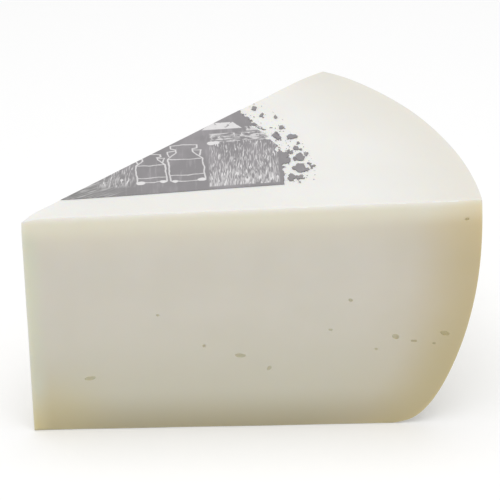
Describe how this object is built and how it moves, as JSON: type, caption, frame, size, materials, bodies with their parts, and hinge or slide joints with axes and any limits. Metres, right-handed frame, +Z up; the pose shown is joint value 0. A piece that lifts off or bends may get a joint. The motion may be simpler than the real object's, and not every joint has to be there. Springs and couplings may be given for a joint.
{
  "type": "cheese wedge",
  "caption": "Wedge cut from a wheel of white semi-hard goat cheese, an eighth of the wheel, with its part of the wheel's film label on the top.",
  "frame": {"origin": "on the surface that the wedge stands on, in the middle of its bounding box seen from above", "axes": "+X from the tip (the wheel's middle) towards the rim along the front cut, +Z up out of the labelled top, +Y into the wedge away from the front cut"},
  "size_m": [0.1814, 0.1282, 0.1046],
  "materials": {
    "cheese_paste_and_coating": "ivory paste on the cut faces and the rim's curve, a little darker and yellower towards the rind; the coated top is nearly white with a soft satin sheen",
    "label_film": "thin printed film, dark grey with fine white line drawing, worn dry-brush edge, low sheen"
  },
  "bodies": {
    "root": {"cheese": "cheese_paste_and_coating", "label": "label_film"}
  },
  "joints": []
}
